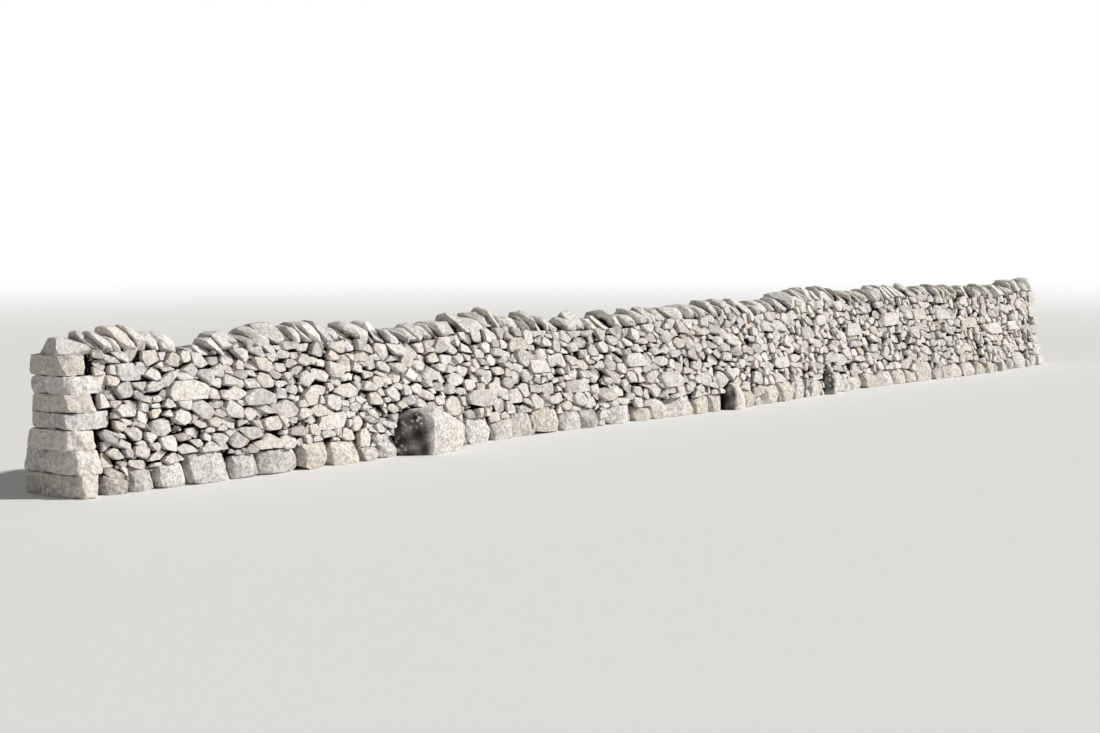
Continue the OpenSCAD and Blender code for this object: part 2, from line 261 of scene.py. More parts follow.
def weathering_tree():
    """Roughens stone with broad lumps and small pits, each moved along the surface's own normal."""
    tree = bpy.data.node_groups.new("weathered_stone", "GeometryNodeTree")
    names = tree_inputs(tree, [
        ("Geometry", "NodeSocketGeometry", None),
        ("Lump Size", "NodeSocketFloat", 0.06),
        ("Lump Depth", "NodeSocketFloat", 0.006),
        ("Pit Size", "NodeSocketFloat", 0.02),
        ("Pit Depth", "NodeSocketFloat", 0.002),
        ("Crease", "NodeSocketFloat", 0.5),
        ("Seed", "NodeSocketFloat", 0.0),
        ("Material", "NodeSocketMaterial", None),
    ])
    w = Wiring(tree)
    given = w.node("NodeGroupInput").outputs
    place = w.node("GeometryNodeInputPosition").outputs[0]
    normal = w.node("GeometryNodeInputNormal").outputs[0]

    def relief(size, depth, detail):
        noise = w.node("ShaderNodeTexNoise", noise_dimensions="4D")
        w.feed(noise.inputs["Vector"], w.vector("SCALE", place, w.math("DIVIDE", 1.0, size)))
        w.feed(noise.inputs["W"], given["Seed"])
        noise.inputs["Scale"].default_value = 1.0
        noise.inputs["Detail"].default_value = detail
        swing = w.math("SUBTRACT", noise.outputs[0], 0.5)
        return w.math("MULTIPLY", swing, w.math("MULTIPLY", depth, 2.0))

    depth = w.math("ADD", relief(given["Lump Size"], given["Lump Depth"], 1.0),
                   relief(given["Pit Size"], given["Pit Depth"], 2.0))
    move = w.node("GeometryNodeSetPosition")
    w.feed(move.inputs["Geometry"], given["Geometry"])
    w.feed(move.inputs["Offset"], w.vector("SCALE", normal, depth))
    finish_tree(w, move.outputs[0], given["Crease"], given["Material"])
    return tree, names


def pinning_tree():
    """Sets a small chip of stone, turned and sized by chance, at every point it is given."""
    tree = bpy.data.node_groups.new("pinnings", "GeometryNodeTree")
    names = tree_inputs(tree, [
        ("Geometry", "NodeSocketGeometry", None),
        ("Smallest", "NodeSocketFloat", 0.014),
        ("Largest", "NodeSocketFloat", 0.032),
        ("Crease", "NodeSocketFloat", 0.5),
        ("Seed", "NodeSocketInt", 7),
        ("Material", "NodeSocketMaterial", None),
    ])
    w = Wiring(tree)
    given = w.node("NodeGroupInput").outputs
    chip = w.node("GeometryNodeMeshIcoSphere")
    chip.inputs["Radius"].default_value = 1.0
    chip.inputs["Subdivisions"].default_value = 1
    size = w.node("FunctionNodeRandomValue", data_type="FLOAT")
    w.feed(size.inputs[2], given["Smallest"])
    w.feed(size.inputs[3], given["Largest"])
    w.feed(size.inputs["Seed"], given["Seed"])
    form = w.node("FunctionNodeRandomValue", data_type="FLOAT_VECTOR")
    form.inputs[0].default_value = (0.7, 0.7, 0.4)
    form.inputs[1].default_value = (1.6, 1.3, 0.9)
    w.feed(form.inputs["Seed"], w.math("ADD", given["Seed"], 1.0))
    turn = w.node("FunctionNodeRandomValue", data_type="FLOAT_VECTOR")
    turn.inputs[0].default_value = (-0.6, -0.6, -3.1)
    turn.inputs[1].default_value = (0.6, 0.6, 3.1)
    w.feed(turn.inputs["Seed"], w.math("ADD", given["Seed"], 2.0))
    spread = w.node("GeometryNodeInstanceOnPoints")
    w.feed(spread.inputs["Points"], given["Geometry"])
    w.feed(spread.inputs["Instance"], chip.outputs[0])
    w.feed(spread.inputs["Rotation"], turn.outputs[0])
    w.feed(spread.inputs["Scale"], w.vector("SCALE", form.outputs[0], size.outputs[1]))
    finish_tree(w, spread.outputs[0], given["Crease"], given["Material"])
    return tree, names


WEATHERING = weathering_tree()
PINNING = pinning_tree()


def run_tree(piece, tree_and_names, **values):
    """Puts a piece through a node tree and keeps the outcome as its plain mesh."""
    tree, names = tree_and_names
    modifier = piece.modifiers.new(tree.name, "NODES")
    modifier.node_group = tree
    for name, value in values.items():
        modifier[names[name.replace("_", " ")]] = value
    graph = bpy.context.evaluated_depsgraph_get()
    done = bpy.data.meshes.new_from_object(piece.evaluated_get(graph), preserve_all_data_layers=True,
                                           depsgraph=graph)
    piece.modifiers.remove(modifier)
    old = piece.data
    piece.data = done
    bpy.data.meshes.remove(old)
    done.name = piece.name


# Finishes

GRIME = (0.17, 0.165, 0.15)
PALE_LICHEN = (0.86, 0.84, 0.80)
ORANGE_LICHEN = (0.56, 0.40, 0.14)


def bloom_spots(w, place):
    """Ragged spots, from 0 between them to 1 inside them."""
    ragged = w.node("ShaderNodeTexNoise")
    w.feed(ragged.inputs["Vector"], place)
    ragged.inputs["Scale"].default_value = 40.0
    spots = w.node("ShaderNodeTexVoronoi", feature="F1")
    w.feed(spots.inputs["Vector"], w.vector("ADD", place, w.vector("SCALE", ragged.outputs["Color"], 0.03)))
    spots.inputs["Scale"].default_value = 19.0
    return w.ramp(spots.outputs["Distance"], 0.44, 0.24)


def weathered_limestone(name, pale, cool, warm, dark):
    """Limestone left out in the weather: blotched and pitted, with grime and lichen, and painted shade that
    darkens it deep in its joints.
    """
    material = bpy.data.materials.new(name)
    material.use_nodes = True
    w = Wiring(material.node_tree)
    shader = material.node_tree.nodes["Principled BSDF"]
    place = w.node("ShaderNodeTexCoord").outputs["Object"]
    tone = w.node("ShaderNodeAttribute", attribute_name="stone_tone")
    part = w.node("ShaderNodeSeparateColor")
    w.feed(part.inputs[0], tone.outputs["Color"])
    bright, warmth, lichen = part.outputs
    grime = tone.outputs["Alpha"]
    recess = w.node("ShaderNodeAttribute", attribute_name="recess").outputs["Fac"]

    def noise(scale, detail, rough=0.55):
        n = w.node("ShaderNodeTexNoise")
        w.feed(n.inputs["Vector"], place)
        n.inputs["Scale"].default_value = scale
        n.inputs["Detail"].default_value = detail
        n.inputs["Roughness"].default_value = rough
        return n.outputs[0]

    def blend(share, first, second, kind="MIX"):
        n = w.node("ShaderNodeMix", data_type="RGBA", blend_type=kind)
        w.feed(n.inputs[0], share)
        w.feed(n.inputs[6], first if isinstance(first, bpy.types.NodeSocket) else (*first, 1))
        w.feed(n.inputs[7], second if isinstance(second, bpy.types.NodeSocket) else (*second, 1))
        return n.outputs[2]

    def grey(level):
        n = w.node("ShaderNodeCombineColor")
        for socket in n.inputs:
            w.feed(socket, level)
        return n.outputs[0]

    blotch, mottle, speckle = noise(9.0, 5.0, 0.62), noise(30.0, 3.0, 0.6), noise(70.0, 3.0, 0.65)
    colour = blend(w.ramp(warmth, 0.0, 0.45, 1.0, 0.0), pale, cool)
    colour = blend(w.ramp(warmth, 0.6, 1.0), colour, warm)
    colour = blend(w.ramp(blotch, 0.48, 0.70, 0.0, 0.4), colour, dark)
    colour = blend(w.ramp(mottle, 0.51, 0.57, 0.0, 0.62), colour, dark)
    colour = blend(w.ramp(speckle, 0.52, 0.60, 0.0, 0.5), colour, dark)
    # painted shade: points that lie deeper in the joints are painted darker, down to near black
    level = w.math("MULTIPLY", w.ramp(bright, 0.0, 1.0, 0.72, 1.08), w.ramp(recess, 0.15, 0.38, 1.0, 0.03))
    colour = blend(1.0, colour, grey(level), "MULTIPLY")
    stain = w.math("MULTIPLY", w.ramp(noise(5.0, 5.0, 0.7), 0.5, 0.68), w.ramp(grime, 0.55, 1.0, 0.0, 0.55))
    colour = blend(stain, colour, GRIME)
    bloom = w.math("MULTIPLY", bloom_spots(w, place), w.ramp(noise(4.0, 2.0), 0.45, 0.6, 0.0, 0.7))
    colour = blend(bloom, colour, PALE_LICHEN)
    crust = w.math("MULTIPLY", w.ramp(noise(16.0, 4.0, 0.7), 0.54, 0.62),
                   w.ramp(lichen, 0.97, 0.99, 0.0, 0.7))
    colour = blend(crust, colour, ORANGE_LICHEN)
    w.feed(shader.inputs["Base Color"], colour)
    shader.inputs["Roughness"].default_value = 0.93
    shader.inputs["Specular IOR Level"].default_value = 0.22
    bump = w.node("ShaderNodeBump")
    bump.inputs["Strength"].default_value = 0.9
    bump.inputs["Distance"].default_value = 0.012
    w.feed(bump.inputs["Height"], w.math("ADD", mottle, w.math("MULTIPLY", speckle, 0.8)))
    w.feed(shader.inputs["Normal"], bump.outputs[0])
    return material


FACE_STONE = weathered_limestone("face_limestone", (0.77, 0.73, 0.68), (0.72, 0.70, 0.69),
                                 (0.73, 0.66, 0.59), (0.42, 0.40, 0.37))
# Paler than the face stone: partly the bleaching of the copes in the weather, partly painted light that
# lifts their shaded flanks.
COPE_STONE = weathered_limestone("cope_limestone", (0.82, 0.795, 0.75), (0.77, 0.755, 0.74),
                                 (0.77, 0.71, 0.64), (0.47, 0.45, 0.42))
FOOT_STONE = weathered_limestone("foot_limestone", (0.73, 0.69, 0.64), (0.67, 0.65, 0.63),
                                 (0.68, 0.61, 0.53), (0.30, 0.285, 0.26))
# The hearting shows only through the gaps between stones, so it is painted near black as shade.
CORE_PAINTED_SHADE = weathered_limestone("hearting_painted_shade", (0.10, 0.095, 0.09), (0.08, 0.08, 0.08),
                                 (0.10, 0.085, 0.07), (0.04, 0.04, 0.035))


# The wall's own lines

def corners_of(node):
    return np.array([v.co[:] for v in NODES[node].data.vertices])


def wall_lines():
    """Stations along the wall with its middle line and the bed of the cope, off the hearting."""
    rows = {}
    for bay in BAYS:
        core = corners_of(f"hearting_{bay}")
        low, high = core[:, 0].min(), core[:, 0].max()
        for x in np.unique(core[:, 0].round(3)):
            ring = core[abs(core[:, 0] - x) < 0.002]
            foot, bed = ring[ring[:, 2] < 0.001], ring[ring[:, 2] > 0.9]
            if len(foot) and len(bed):
                rows[x] = (foot[:, 1].mean(), bed[:, 2].max())
    xs = np.array(sorted(rows))
    return xs, *np.array([rows[x] for x in xs]).T


STATION, LINE, BED = wall_lines()
START, END = STATION[0], STATION[-1]


def along(values, x):
    return np.interp(x, STATION, values)


def slope(values, x, step):
    return (along(values, x + step) - along(values, x - step)) / (2 * step)


class Face:
    """One face of the wall: finds the surface of its skins at a place along and up the wall."""

    OUTSIDE = 1.5       # how far off the wall's line a face is looked at from
    NEAR_BATTER = 0.04  # how far the surface may lie from the plain batter, past which it is a pocket

    def __init__(self, name, sign):
        self.name, self.sign = name, sign
        points, tris, start = [], [], 0
        for bay in BAYS:
            mesh = NODES[f"face_{name}_{bay}"].data
            mesh.calc_loop_triangles()
            points += [v.co.copy() for v in mesh.vertices]
            tris += [[i + start for i in t.vertices] for t in mesh.loop_triangles]
            start = len(points)
        self.surface = BVHTree.FromPolygons(points, tris)

    def at(self, x, z):
        """Point on the face, and the directions along it, up it and out of it."""
        y, half = along(LINE, x), half_width(z)
        start, way = Vector((x, y + self.sign * self.OUTSIDE, z)), Vector((0, -self.sign, 0))
        hit, normal, _, _ = self.surface.ray_cast(start, way)
        if hit is not None and abs(normal.y) > 0.7 and abs(abs(hit.y - y) - half) < self.NEAR_BATTER:
            half = abs(hit.y - y)
        run = np.array([1.0, slope(LINE, x, 0.1), 0.0])
        run /= np.linalg.norm(run)
        out = np.array([0, self.sign, BATTER])
        out -= run * out.dot(run)
        out /= np.linalg.norm(out)
        up = np.cross(out, run) * (1 if np.cross(out, run)[2] > 0 else -1)
        return np.array([x, y + self.sign * half, z]), run, up, out


# Stones of the frame

def solids(node):
    """The separate convex solids of a node, each as its corners and the planes of its sides, and all of
    them in an order that is the same in every run."""
    bm = bmesh.new()
    bm.from_mesh(NODES[node].data)
    bmesh.ops.remove_doubles(bm, verts=bm.verts, dist=1e-5)
    bm.normal_update()
    left, found = set(bm.verts), []
    while left:
        stack, group = [left.pop()], set()
        while stack:
            v = stack.pop()
            group.add(v)
            for e in v.link_edges:
                o = e.other_vert(v)
                if o in left:
                    left.discard(o)
                    stack.append(o)
        normals, dists = [], []
        faces = {f for v in group for f in v.link_faces}
        for f in sorted(faces, key=lambda f: (-f.calc_area(), *f.calc_center_median().yxz)):
            n = np.array(f.normal)
            d = n.dot(f.verts[0].co)
            if f.calc_area() > 1e-5 and not any(n.dot(m) > 0.998 and abs(d - e) < 0.004
                                                for m, e in zip(normals, dists)):
                normals.append(n)
                dists.append(d)
        found.append((np.array(sorted(v.co[:] for v in group)), np.array(normals), np.array(dists)))
    bm.free()
    found.sort(key=lambda s: (s[0][:, 0].min(), s[0][:, 2].min(), -s[0][:, 1].min()))
    return found


def outline(points):
    """Outline of a solid as it is seen across the wall: edges as (normal x, normal z, distance)."""
    spots = sorted({(round(p[0], 4), round(p[2], 4)) for p in points})
    ring = []
    for order in (spots, spots[::-1]):
        part = []
        for p in order:
            while len(part) > 1 and ((part[-1][0] - part[-2][0]) * (p[1] - part[-2][1])
                                     - (part[-1][1] - part[-2][1]) * (p[0] - part[-2][0])) <= 0:
                part.pop()
            part.append(p)
        ring += part[:-1]
    edges = []
    for (ax, az), (bx, bz) in zip(ring, ring[1:] + ring[:1]):
        long = math.hypot(bx - ax, bz - az)
        nx, nz = (bz - az) / long, (ax - bx) / long
        edges.append((nx, nz, nx * ax + nz * az))
    return np.array(edges)


class Outline:
    """A stone of the frame as it is seen across the wall, which the rubble of a face is laid around."""

    def __init__(self, node, points):
        self.node = node
        self.low, self.high = points[:, 0].min(), points[:, 0].max()
        self.middle = (points[:, 2].min() + points[:, 2].max()) / 2
        self.edges = outline(points)

    def depth(self, x, z):
        """How deep a place lies inside it: negative outside it."""
        return (self.edges[:, 2] - self.edges[:, 0] * x - self.edges[:, 1] * z).min()

    def edge_towards(self, x, z):
        return self.edges[np.argmax(self.edges[:, 0] * x + self.edges[:, 1] * z - self.edges[:, 2])]


def outlines(name, sign):
    """Outlines of the footings, large stones, boulders and heads that show in a face."""
    nodes = [f"footing_{name}_{bay}" for bay in BAYS] + [f"large_{name}", "head_start", "head_end"]
    if sign < 0:
        nodes += [n for n in sorted(NODES) if n.startswith("boulder")]
    return [Outline(node, points) for node in nodes for points, _, _ in solids(node)
            if (points[:, 1] * sign).max() > 0.1]


# Laid rubble

BED_STRETCH = 1.4       # how much longer than high a laid stone tends to be
LEAN = 0.34             # how far the joints lean back along the wall for each metre of height
PACKING = 0.82          # how close two stones may lie, as a share of their half lengths together
CELL_HALF = 0.7         # half of the square on the sheet that a stone's place is cut from
NEIGHBOURS = 27         # how many of the nearest stones cut it
JOINTS = [0.0005, 0.004, 0.022]     # widths that a stone leaves free at a side
JOINT_SHARES = [0.65, 0.2, 0.15]    # how often each of them comes
JOINT_MOST = 0.15       # most that a stone leaves free at a side, as a share of its size
BEVEL_SHARE = 0.6       # share of a stone's corners that are lost
BEVEL_FULL = 0.13       # size from which a stone may lose its corners in full
LEAST_AREA = 0.0011     # a place that shows less than this is left to the joints
SMALL_AREA = 0.014      # a stone that shows less than this may be set back in the face
LARGE_AREA = 0.016      # a stone that shows more than this has its triangles split
SET_BACK_SHARE = 0.08   # share of the small stones that are set back
PROUD = 0.018           # how far stones tend to stand out of the face or back in it
PROUD_LIMITS = (-0.034, 0.032)
FRONT_LEANS = (0.16, 0.13)          # how much fronts tend to lean along the face and up it
FRONT_LIMITS = (0.028, 0.024)       # most that this brings their rims forward
SHALLOW, STEEP = (6, 20), (20, 38)  # angles of the facets on a front, in degrees
SHALLOW_SHARE = 0.7
PIN_SHARE = 0.12        # share of the places where joints meet that are pinned with a chip


def bed_wave(x):
    """How far the beds lie below their place on the sheet."""
    return 0.022 * math.sin(3.4 * x + 1) + 0.012 * math.sin(8.3 * x)


def to_sheet(x, z):
    """Place of a spot on the sheet that the stones are set out on, where leaning joints stand upright."""
    return x + LEAN * z, BED_STRETCH * (z + bed_wave(x))


def from_sheet(u, v):
    x, z = u, v / BED_STRETCH
    for _ in range(4):
        x = u - LEAN * z
        z = v / BED_STRETCH - bed_wave(x)
    return x, z


SORTS = [  # least and most half length, how many tries, and how much they keep to the foot of the wall
    (0.13, 0.18, 50, 1.0), (0.10, 0.13, 300, 0.5), (0.075, 0.10, 1700, 0.15), (0.054, 0.075, 12000, 0.0),
    (0.036, 0.054, 18000, 0.0)]


def beside_heads(kept_clear):
    """Places for one stone in each notch that a head's through blocks leave between its longer ones."""
    for known in kept_clear:
        if known.node.startswith("head"):
            for end, way in ((known.high - START, 1), (END - known.low, -1)):
                if abs(end) < 0.02:
                    yield (START if way > 0 else END) + way * 0.07, known.middle, 0.06


def throw_stones(rng, kept_clear):
    """Middles and sizes of the stones of one face: large ones first and low down, then ever smaller ones."""
    middles, sizes = np.empty((0, 2)), np.empty(0)

    def throws():
        yield from beside_heads(kept_clear)
        for least, most, tries, lowness in SORTS:
            for _ in range(tries):
                share = rng.random()
                if rng.random() > lowness * share * 1.3:
                    x, r = rng.uniform(START, END), rng.uniform(least, most)
                    margin = r * 0.6 / BED_STRETCH
                    yield x, margin + (along(BED, x) - 2 * margin) * share, r

    for x, z, r in throws():
        spot = np.array(to_sheet(x, z))
        near = abs(middles[:, 0] - spot[0]) < 0.5
        if (np.hypot(*(middles[near] - spot).T) < PACKING * (sizes[near] + r)).any():
            continue
        if any(known.low - r < x < known.high + r and known.depth(x, z) > -r * 0.3 for known in kept_clear):
            continue
        middles, sizes = np.vstack([middles, spot]), np.append(sizes, r)
    return middles, sizes


def trim(cell, nx, nz, limit):
    """What is left of a cell on the near side of a line."""
    if len(cell) < 3:
        return cell
    side = cell @ np.array([nx, nz]) - limit
    kept = []
    for i in range(len(cell)):
        a, b, sa, sb = cell[i], cell[(i + 1) % len(cell)], side[i], side[(i + 1) % len(cell)]
        if sa <= 0:
            kept.append(a)
        if (sa < 0 < sb) or (sb < 0 < sa):
            kept.append(a + (b - a) * sa / (sa - sb))
    return np.array(kept)


def set_out(rng, middles, sizes, kept_clear):
    """The place of each stone between its neighbours, as a ring of corners along and up the wall."""
    cells = []
    for spot, r in zip(middles, sizes):
        cell = np.array([[-1, -1], [1, -1], [1, 1], [-1, 1]]) * CELL_HALF + spot
        near = np.nonzero(abs(middles[:, 0] - spot[0]) < 0.9)[0]
        near = near[np.argsort(((middles[near] - spot) ** 2).sum(1))][1:NEIGHBOURS + 1]
        for j in near:
            way = middles[j] - spot
            cell = trim(cell, *way, (middles[j] @ middles[j] - spot @ spot + r * r - sizes[j] ** 2) / 2)
        if len(cell) < 3:
            continue
        cell = np.array([from_sheet(u, v) for u, v in cell])
        x, z = from_sheet(*spot)
        rise = slope(BED, x, 0.2) + rng.normal(0, 0.06)
        cell = trim(cell, -rise, 1, along(BED, x) + rng.uniform(0.0, 0.05) - rise * x)
        cell = trim(cell, 0, -1, 0)
        cell = trim(cell, -1, 0, -START)
        cell = trim(cell, 1, 0, END)
        for known in kept_clear:
            if known.low - 0.5 < x < known.high + 0.5:
                edge = known.edge_towards(x, z)
                cell = trim(cell, -edge[0], -edge[1], -edge[2] + rng.uniform(-0.004, 0.008))
        if len(cell) >= 3:
            cells.append(cell)
    return cells


def stone_sides(rng, cell, middle, size):
    """Sides of a stone in its place: the way that each looks and how far it lies from the middle."""
    edge = np.roll(cell, -1, axis=0) - cell
    long = np.hypot(edge[:, 0], edge[:, 1])
    kept = long > 0.008
    cell, edge, long = cell[kept], edge[kept], long[kept]
    if len(cell) < 3:
        return None, None
    sides = np.column_stack([edge[:, 1], -edge[:, 0]]) / long[:, None]
    reach = (sides * (cell - middle)).sum(1)
    joint = rng.choice(JOINTS, len(reach), p=JOINT_SHARES) * rng.uniform(0.5, 1.5, len(reach))
    reach = np.maximum(reach - np.minimum(joint, JOINT_MOST * size), 0.010)
    for i in range(len(cell)):
        if rng.random() < BEVEL_SHARE:
            bevel = sides[i] * rng.uniform(0.6, 1.4) + sides[i - 1]
            bevel /= np.linalg.norm(bevel)
            far = bevel @ (cell[i] - middle)
            lost = rng.uniform(0.006, 0.04) * min(1, size / BEVEL_FULL)
            sides, reach = np.vstack([sides, bevel]), np.append(reach, max(far - lost, 0.012))
    return sides, reach


def lay_stone(rng, face, cell):
    """One rubble stone shaped to its place in the face: points, triangles and how deep each point lies,
    which sets the shade painted on it.
    """
    nxt = np.roll(cell, -1, axis=0)
    cross = cell[:, 0] * nxt[:, 1] - nxt[:, 0] * cell[:, 1]
    area = cross.sum() / 2
    if area < LEAST_AREA:
        return None
    middle = ((cell + nxt) * cross[:, None]).sum(0) / (6 * area)
    half_long, half_high = np.ptp(cell, axis=0) / 2
    at, run, up, out = face.at(*middle)
    depth = STONE_DEPTH * rng.uniform(0.85, 1.05)
    heart = at - out * depth * 0.5

    sides, reach = stone_sides(rng, cell, middle, math.sqrt(area))
    if sides is None:
        return None
    flat = sides[:, :1] * run + sides[:, 1:] * up
    tilt = np.radians(rng.uniform(-6, 9, len(reach)))
    normals = flat * np.cos(tilt)[:, None] + out * np.sin(tilt)[:, None]
    dists = ((at + flat * reach[:, None] - out * 0.03 - heart) * normals).sum(1)

    proud = float(np.clip(rng.normal(0.0, PROUD), *PROUD_LIMITS))
    if area < SMALL_AREA and rng.random() < SET_BACK_SHARE:
        proud = -rng.uniform(0.03, 0.06)
    most = np.array(FRONT_LIMITS) / (half_long, half_high)
    lean = np.clip(rng.normal(0, FRONT_LEANS), -most, most)
    front = out + run * lean[0] + up * (lean[1] + 0.05)
    front /= np.linalg.norm(front)
    normals = np.vstack([normals, front, -out])
    dists = np.append(dists, [(at + out * proud - heart).dot(front), depth * 0.5])
    for _ in range(rng.integers(1, 4)):
        n, way = tilted(rng, front, *(SHALLOW if rng.random() < SHALLOW_SHARE else STEEP))
        spot = at + out * proud + way * rng.uniform(0.3, 1.0) * min(half_long, half_high)
        normals, dists = np.vstack([normals, n]), np.append(dists, (spot - heart) @ n)
    cuts = 1 if area > LARGE_AREA else 0
    points, tris = hewn_stone(heart, normals, np.maximum(dists, 0.008), rng.uniform(50, 110), cuts)
    # depth behind the face, for the shade painted into the joints
    return points, tris, np.clip(-((points - at) @ out) / STONE_DEPTH, 0, 1)


def lay_face(face, seed):
    """Lays one face of the wall and returns its stones by bay, with the places for pinnings."""
    rng = np.random.default_rng(seed)
    kept_clear = outlines(face.name, face.sign)
    cells = set_out(rng, *throw_stones(rng, kept_clear), kept_clear)
    cells.sort(key=lambda cell: cell[:, 0].mean())
    stones, chips = {bay: Masonry() for bay in BAYS}, {bay: [] for bay in BAYS}
    reach = CAD_BOX[1][0]
    for cell in cells:
        share = (cell[:, 0].mean() + reach) / (2 * reach)
        bay = min(int(share * len(BAYS)) + 1, len(BAYS))
        stone = lay_stone(rng, face, cell)
        if stone is None:
            continue
        stones[bay].lay(stone[0], stone[1], stone_tone(rng), stone[2])
        for corner in cell:
            if rng.random() < PIN_SHARE:
                at, _, _, out = face.at(*corner)
                chips[bay].append(at - out * rng.uniform(0.02, 0.05))
    return stones, chips


# Worn stones of the frame

def worn_solid(rng, solid, kind):
    """A stone of the frame with corners knocked off and its open sides broken, but for its beds if bedded.
    Its lower edges along the faces may be undercut, for the rubble to rise into, and its shoulders lost."""
    points, normals, dists = solid
    heart = (points.min(0) + points.max(0)) / 4 + points.mean(0) / 2
    points, dists = points - heart, dists - normals @ heart
    off = heart[1] - along(LINE, heart[0])
    broad = [i for i, n in enumerate(normals) if n[1] * off > -0.02 and (not kind.bedded or abs(n[2]) < 0.6)]
    for _ in range(kind.chips):
        n = rng.normal(size=3)
        n /= np.linalg.norm(n)
        normals = np.vstack([normals, n])
        dists = np.append(dists, (points @ n).max() * rng.uniform(0.78, 0.96))
    for _ in range(kind.breaks):
        side = broad[int(len(broad) * rng.random() ** 1.5)]
        rim = points[abs(points @ normals[side] - dists[side]) < 0.002]
        n, way = tilted(rng, normals[side], 10, 26)
        reach = abs((rim - rim.mean(0)) @ way).max()
        normals = np.vstack([normals, n])
        dists = np.append(dists, (rim.mean(0) + way * reach * rng.uniform(0.1, 0.6)) @ n)
    for side in (-1, 1):
        for lift, most in ((-1, kind.undercut), (1, kind.shoulder)):
            n = np.array([rng.normal(0, 0.4), side, lift * rng.uniform(0.5, 1.2)])
            n /= np.linalg.norm(n)
            normals = np.vstack([normals, n])
            dists = np.append(dists, (points @ n).max() - most * rng.random())
    return hewn_stone(heart, normals, np.maximum(dists, 0.015), rng.uniform(*kind.wear), kind.cuts)


def across_wall(points):
    return abs(points[:, 1] - along(LINE, points[:, 0]))


def cope_sunk(points, corners):
    """Depth into the row of copes, from its sides, its top and its ends, which sets the shade painted on
    them.
    """
    across = across_wall(corners).max() - across_wall(points)
    above = corners[:, 2].max() - points[:, 2]
    ahead = CAD_BOX[1][0] - abs(points[:, 0])
    return np.clip((np.minimum(np.minimum(across, above), ahead) - 0.05) / 0.2, 0, 1)


# Depth into a footing from the face of the wall, which sets the shade painted on it.
def foot_sunk(points, corners):
    return np.clip((across_wall(corners).max() - across_wall(points) - 0.08) / 0.2, 0, 1)


# Depth behind the face of the wall, which sets the shade painted on a stone.
def face_sunk(points, corners):
    return np.clip((half_width(points[:, 2]) - across_wall(points)) / STONE_DEPTH, 0, 1)


# Depth in from the ends and faces of the wall, which sets the shade painted on a head.
def head_sunk(points, corners):
    inward = CAD_BOX[1][0] - abs(points[:, 0]) - 0.03
    across = half_width(points[:, 2]) - across_wall(points) - 0.03
    return np.clip(np.minimum(inward, across) / STONE_DEPTH, 0, 1)


def boulder_sunk(points, corners):
    """Depth into the face, which sets the shade painted into its joints, and dark streaks on the steep flank
    that looks towards the start: partly grime, partly painted shade on the side turned away from the lamp.
    """
    share = (points[:, 0] - corners[:, 0].min()) / np.ptp(corners[:, 0])
    y, z = points[:, 1], points[:, 2]
    # streaks that are partly grime and partly painted shade on the flank turned away from the lamp
    streaks = 0.32 + 0.045 * np.sin(31 * y + 9 * z + 1) * np.sin(23 * z - 11 * y)
    return np.maximum(np.clip((HALF_AT_FOOT - across_wall(points)) / STONE_DEPTH, 0, 1),
                      np.clip((0.3 - share) / 0.12, 0, 1) * streaks)


def keep_on_ground(piece):
    """Nothing reaches under the ground that the wall stands on."""
    co = np.empty(len(piece.data.vertices) * 3, np.float32)
    piece.data.vertices.foreach_get("co", co)
    co[2::3] = np.maximum(co[2::3], 0.0)
    piece.data.vertices.foreach_set("co", co)
    piece.data.update()


def seat(piece, slot_name, *nodes):
    """A finished piece rides with the wall and stands for the nodes of the frame that it replaces."""
    keep_on_ground(piece)
    if nodes:
        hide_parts(*nodes)
    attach(piece, "root")


# Making the wall

CREASE = 0.33           # angle in radians past which two facets meet in a sharp edge
CHIP_SHADE_DEPTH = 0.25      # how deep the pinning chips lie in the joints, which sets the shade painted on them

# How a kind of stone is finished. chips are corners knocked off it, breaks are broken sides, and beds
# stay whole if it is bedded. undercut and shoulder are the most that its lower and upper edges lose.
# wear has the limits of its sharpness, cuts says how often its triangles are split, and sunk how deep
# its points lie in a joint, which sets the shade painted on them. lumps and pits have a size and a depth.
Kind = namedtuple("Kind", "chips breaks bedded undercut shoulder wear cuts sunk lumps pits stone slot")
FOOTING = Kind(
    chips=10, breaks=7, bedded=True, undercut=0.02, shoulder=0.05, wear=(45, 90), cuts=2, sunk=foot_sunk,
    lumps=(0.07, 0.014), pits=(0.025, 0.005), stone=FOOT_STONE, slot="footing_stone")
COPE = Kind(
    chips=8, breaks=4, bedded=False, undercut=0.04, shoulder=0.10, wear=(50, 100), cuts=1, sunk=cope_sunk,
    lumps=(0.06, 0.012), pits=(0.02, 0.003), stone=COPE_STONE, slot="cope_stone")
LARGE = Kind(
    chips=4, breaks=3, bedded=False, undercut=0.0, shoulder=0.02, wear=(50, 100), cuts=1, sunk=face_sunk,
    lumps=(0.06, 0.008), pits=(0.018, 0.003), stone=FACE_STONE, slot="face_stone")
HEAD = Kind(
    chips=6, breaks=6, bedded=True, undercut=0.012, shoulder=0.012, wear=(30, 60), cuts=3, sunk=head_sunk,
    lumps=(0.08, 0.018), pits=(0.024, 0.005), stone=FACE_STONE, slot="head_stone")
BOULDER = Kind(
    chips=5, breaks=6, bedded=False, undercut=0.0, shoulder=0.0, wear=(50, 90), cuts=3, sunk=boulder_sunk,
    lumps=(0.12, 0.018), pits=(0.03, 0.005), stone=FOOT_STONE, slot="boulder_stone")


def roughen(piece, lumps, pits, seed, stone):
    """Gives a piece its lumps and pits, its sharp edges and its stone."""
    run_tree(piece, WEATHERING, Lump_Size=lumps[0], Lump_Depth=lumps[1], Pit_Size=pits[0],
             Pit_Depth=pits[1], Crease=CREASE, Seed=seed, Material=stone)


